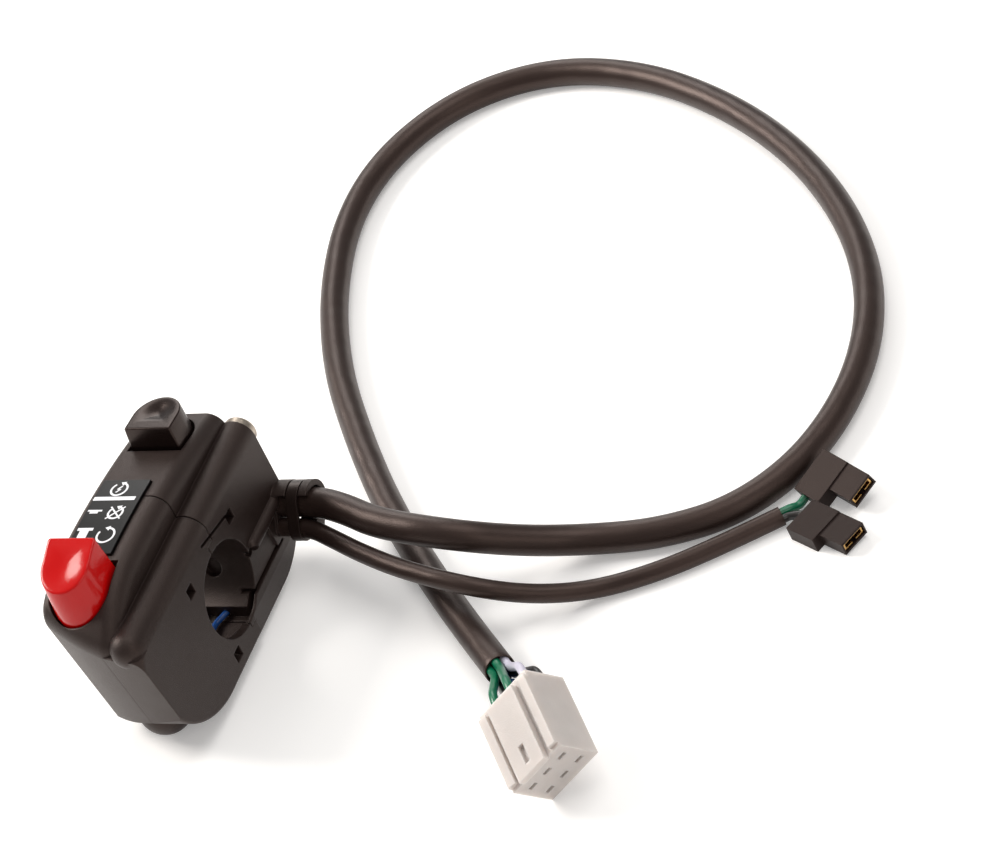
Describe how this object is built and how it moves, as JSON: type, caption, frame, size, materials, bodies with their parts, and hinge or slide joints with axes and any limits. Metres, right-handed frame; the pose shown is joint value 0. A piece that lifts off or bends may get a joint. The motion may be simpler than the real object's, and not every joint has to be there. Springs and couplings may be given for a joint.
{
  "type": "handlebar switch cluster",
  "caption": "Clamp-on handlebar switch cluster: two half shells, start button, latching red stop button, and two cables ending in a nylon connector and blade connectors.",
  "frame": {"origin": "centre of the bar bore, in the middle of the housing's width", "axes": "+X along the bar towards the open end face, +Y from the stop button to the start button, +Z out of the button panel"},
  "size_m": [0.1705, 0.246, 0.0546],
  "materials": {
    "shell_plastic": "fine matte grain",
    "button_black": "gloss",
    "button_red": "gloss",
    "label_gloss": "gloss black with white printed marks",
    "switch_base": "moulded, semi matte",
    "rotor_plastic": "natural acetal",
    "spring_steel": "drawn wire",
    "screw_steel": "zinc plated",
    "brass": "stamped or turned brass",
    "tinned_contact": "tinned",
    "grommet_rubber": "semi matte",
    "tie_plastic": "smooth nylon",
    "cable_sleeve": "soft satin sleeve",
    "plug_nylon": "translucent natural nylon",
    "cover_plastic": "soft vinyl",
    "wire_green": "insulated wire",
    "wire_green_tracer": "insulated wire with a thin tracer",
    "wire_white": "insulated wire",
    "wire_black": "insulated wire",
    "wire_blue": "insulated wire",
    "wire_black_tracer": "insulated wire with an orange red tracer"
  },
  "bodies": {
    "housing": {"upper_shell": "shell_plastic", "lower_shell": "shell_plastic", "label_plate": "label_gloss", "start_spring": "spring_steel", "start_switch_base": "switch_base", "stop_spring": "spring_steel", "stop_switch_base": "switch_base", "front_clamp_screw": "screw_steel", "rear_clamp_screw": "screw_steel", "front_insert": "brass", "rear_insert": "brass", "cable_grommet": "grommet_rubber", "cable_tie": "tie_plastic", "start_wire": "wire_black", "stop_wire": "wire_blue", "main_cable": "cable_sleeve", "second_cable": "cable_sleeve", "plug_body": "plug_nylon", "blade_a_cover": "cover_plastic", "blade_a_terminal": "brass", "blade_a_lead": "wire_green", "blade_b_cover": "cover_plastic", "blade_b_terminal": "brass", "blade_b_lead": "wire_black", "start_terminal_far": "brass", "stop_terminal_far": "brass", "start_base_screw_far": "screw_steel", "stop_base_screw_far": "screw_steel", "start_terminal_near": "brass", "stop_terminal_near": "brass", "start_base_screw_near": "screw_steel", "stop_base_screw_near": "screw_steel", "lead_green": "wire_green", "plug_contact_green": "tinned_contact", "lead_green_tracer": "wire_green_tracer", "plug_contact_green_tracer": "tinned_contact", "lead_white": "wire_white", "plug_contact_white": "tinned_contact", "lead_black": "wire_black", "plug_contact_black": "tinned_contact", "lead_blue": "wire_blue", "plug_contact_blue": "tinned_contact", "lead_black_tracer": "wire_black_tracer", "plug_contact_black_tracer": "tinned_contact"},
    "start_button_group": {"start_button": "button_black", "start_contact_bridge": "brass"},
    "stop_button_group": {"stop_button": "button_red", "stop_contact_bridge": "brass"},
    "latch_rotor_group": {"latch_rotor": "rotor_plastic"}
  },
  "joints": [
    {"name": "start_press", "type": "slide", "parent": "housing", "child": "start_button_group", "axis": [0, 0, -1], "range_m": [0, 0.0025], "stiffness_N_per_m": 400, "springref_m": -0.002, "deforming": ["start_spring"]},
    {"name": "stop_press", "type": "slide", "parent": "housing", "child": "stop_button_group", "axis": [0, 0, -1], "range_m": [0, 0.004], "deforming": ["stop_spring"]},
    {"name": "latch_turn", "type": "hinge", "parent": "stop_button_group", "child": "latch_rotor_group", "pos_m": [-0.0035, -0.023, 0], "axis": [0, 0, 1], "range_deg": [0, 45]}
  ],
  "couplings": [
    {"joint": "latch_turn", "follows": "stop_press", "rad_per_m": 196.3}
  ]
}
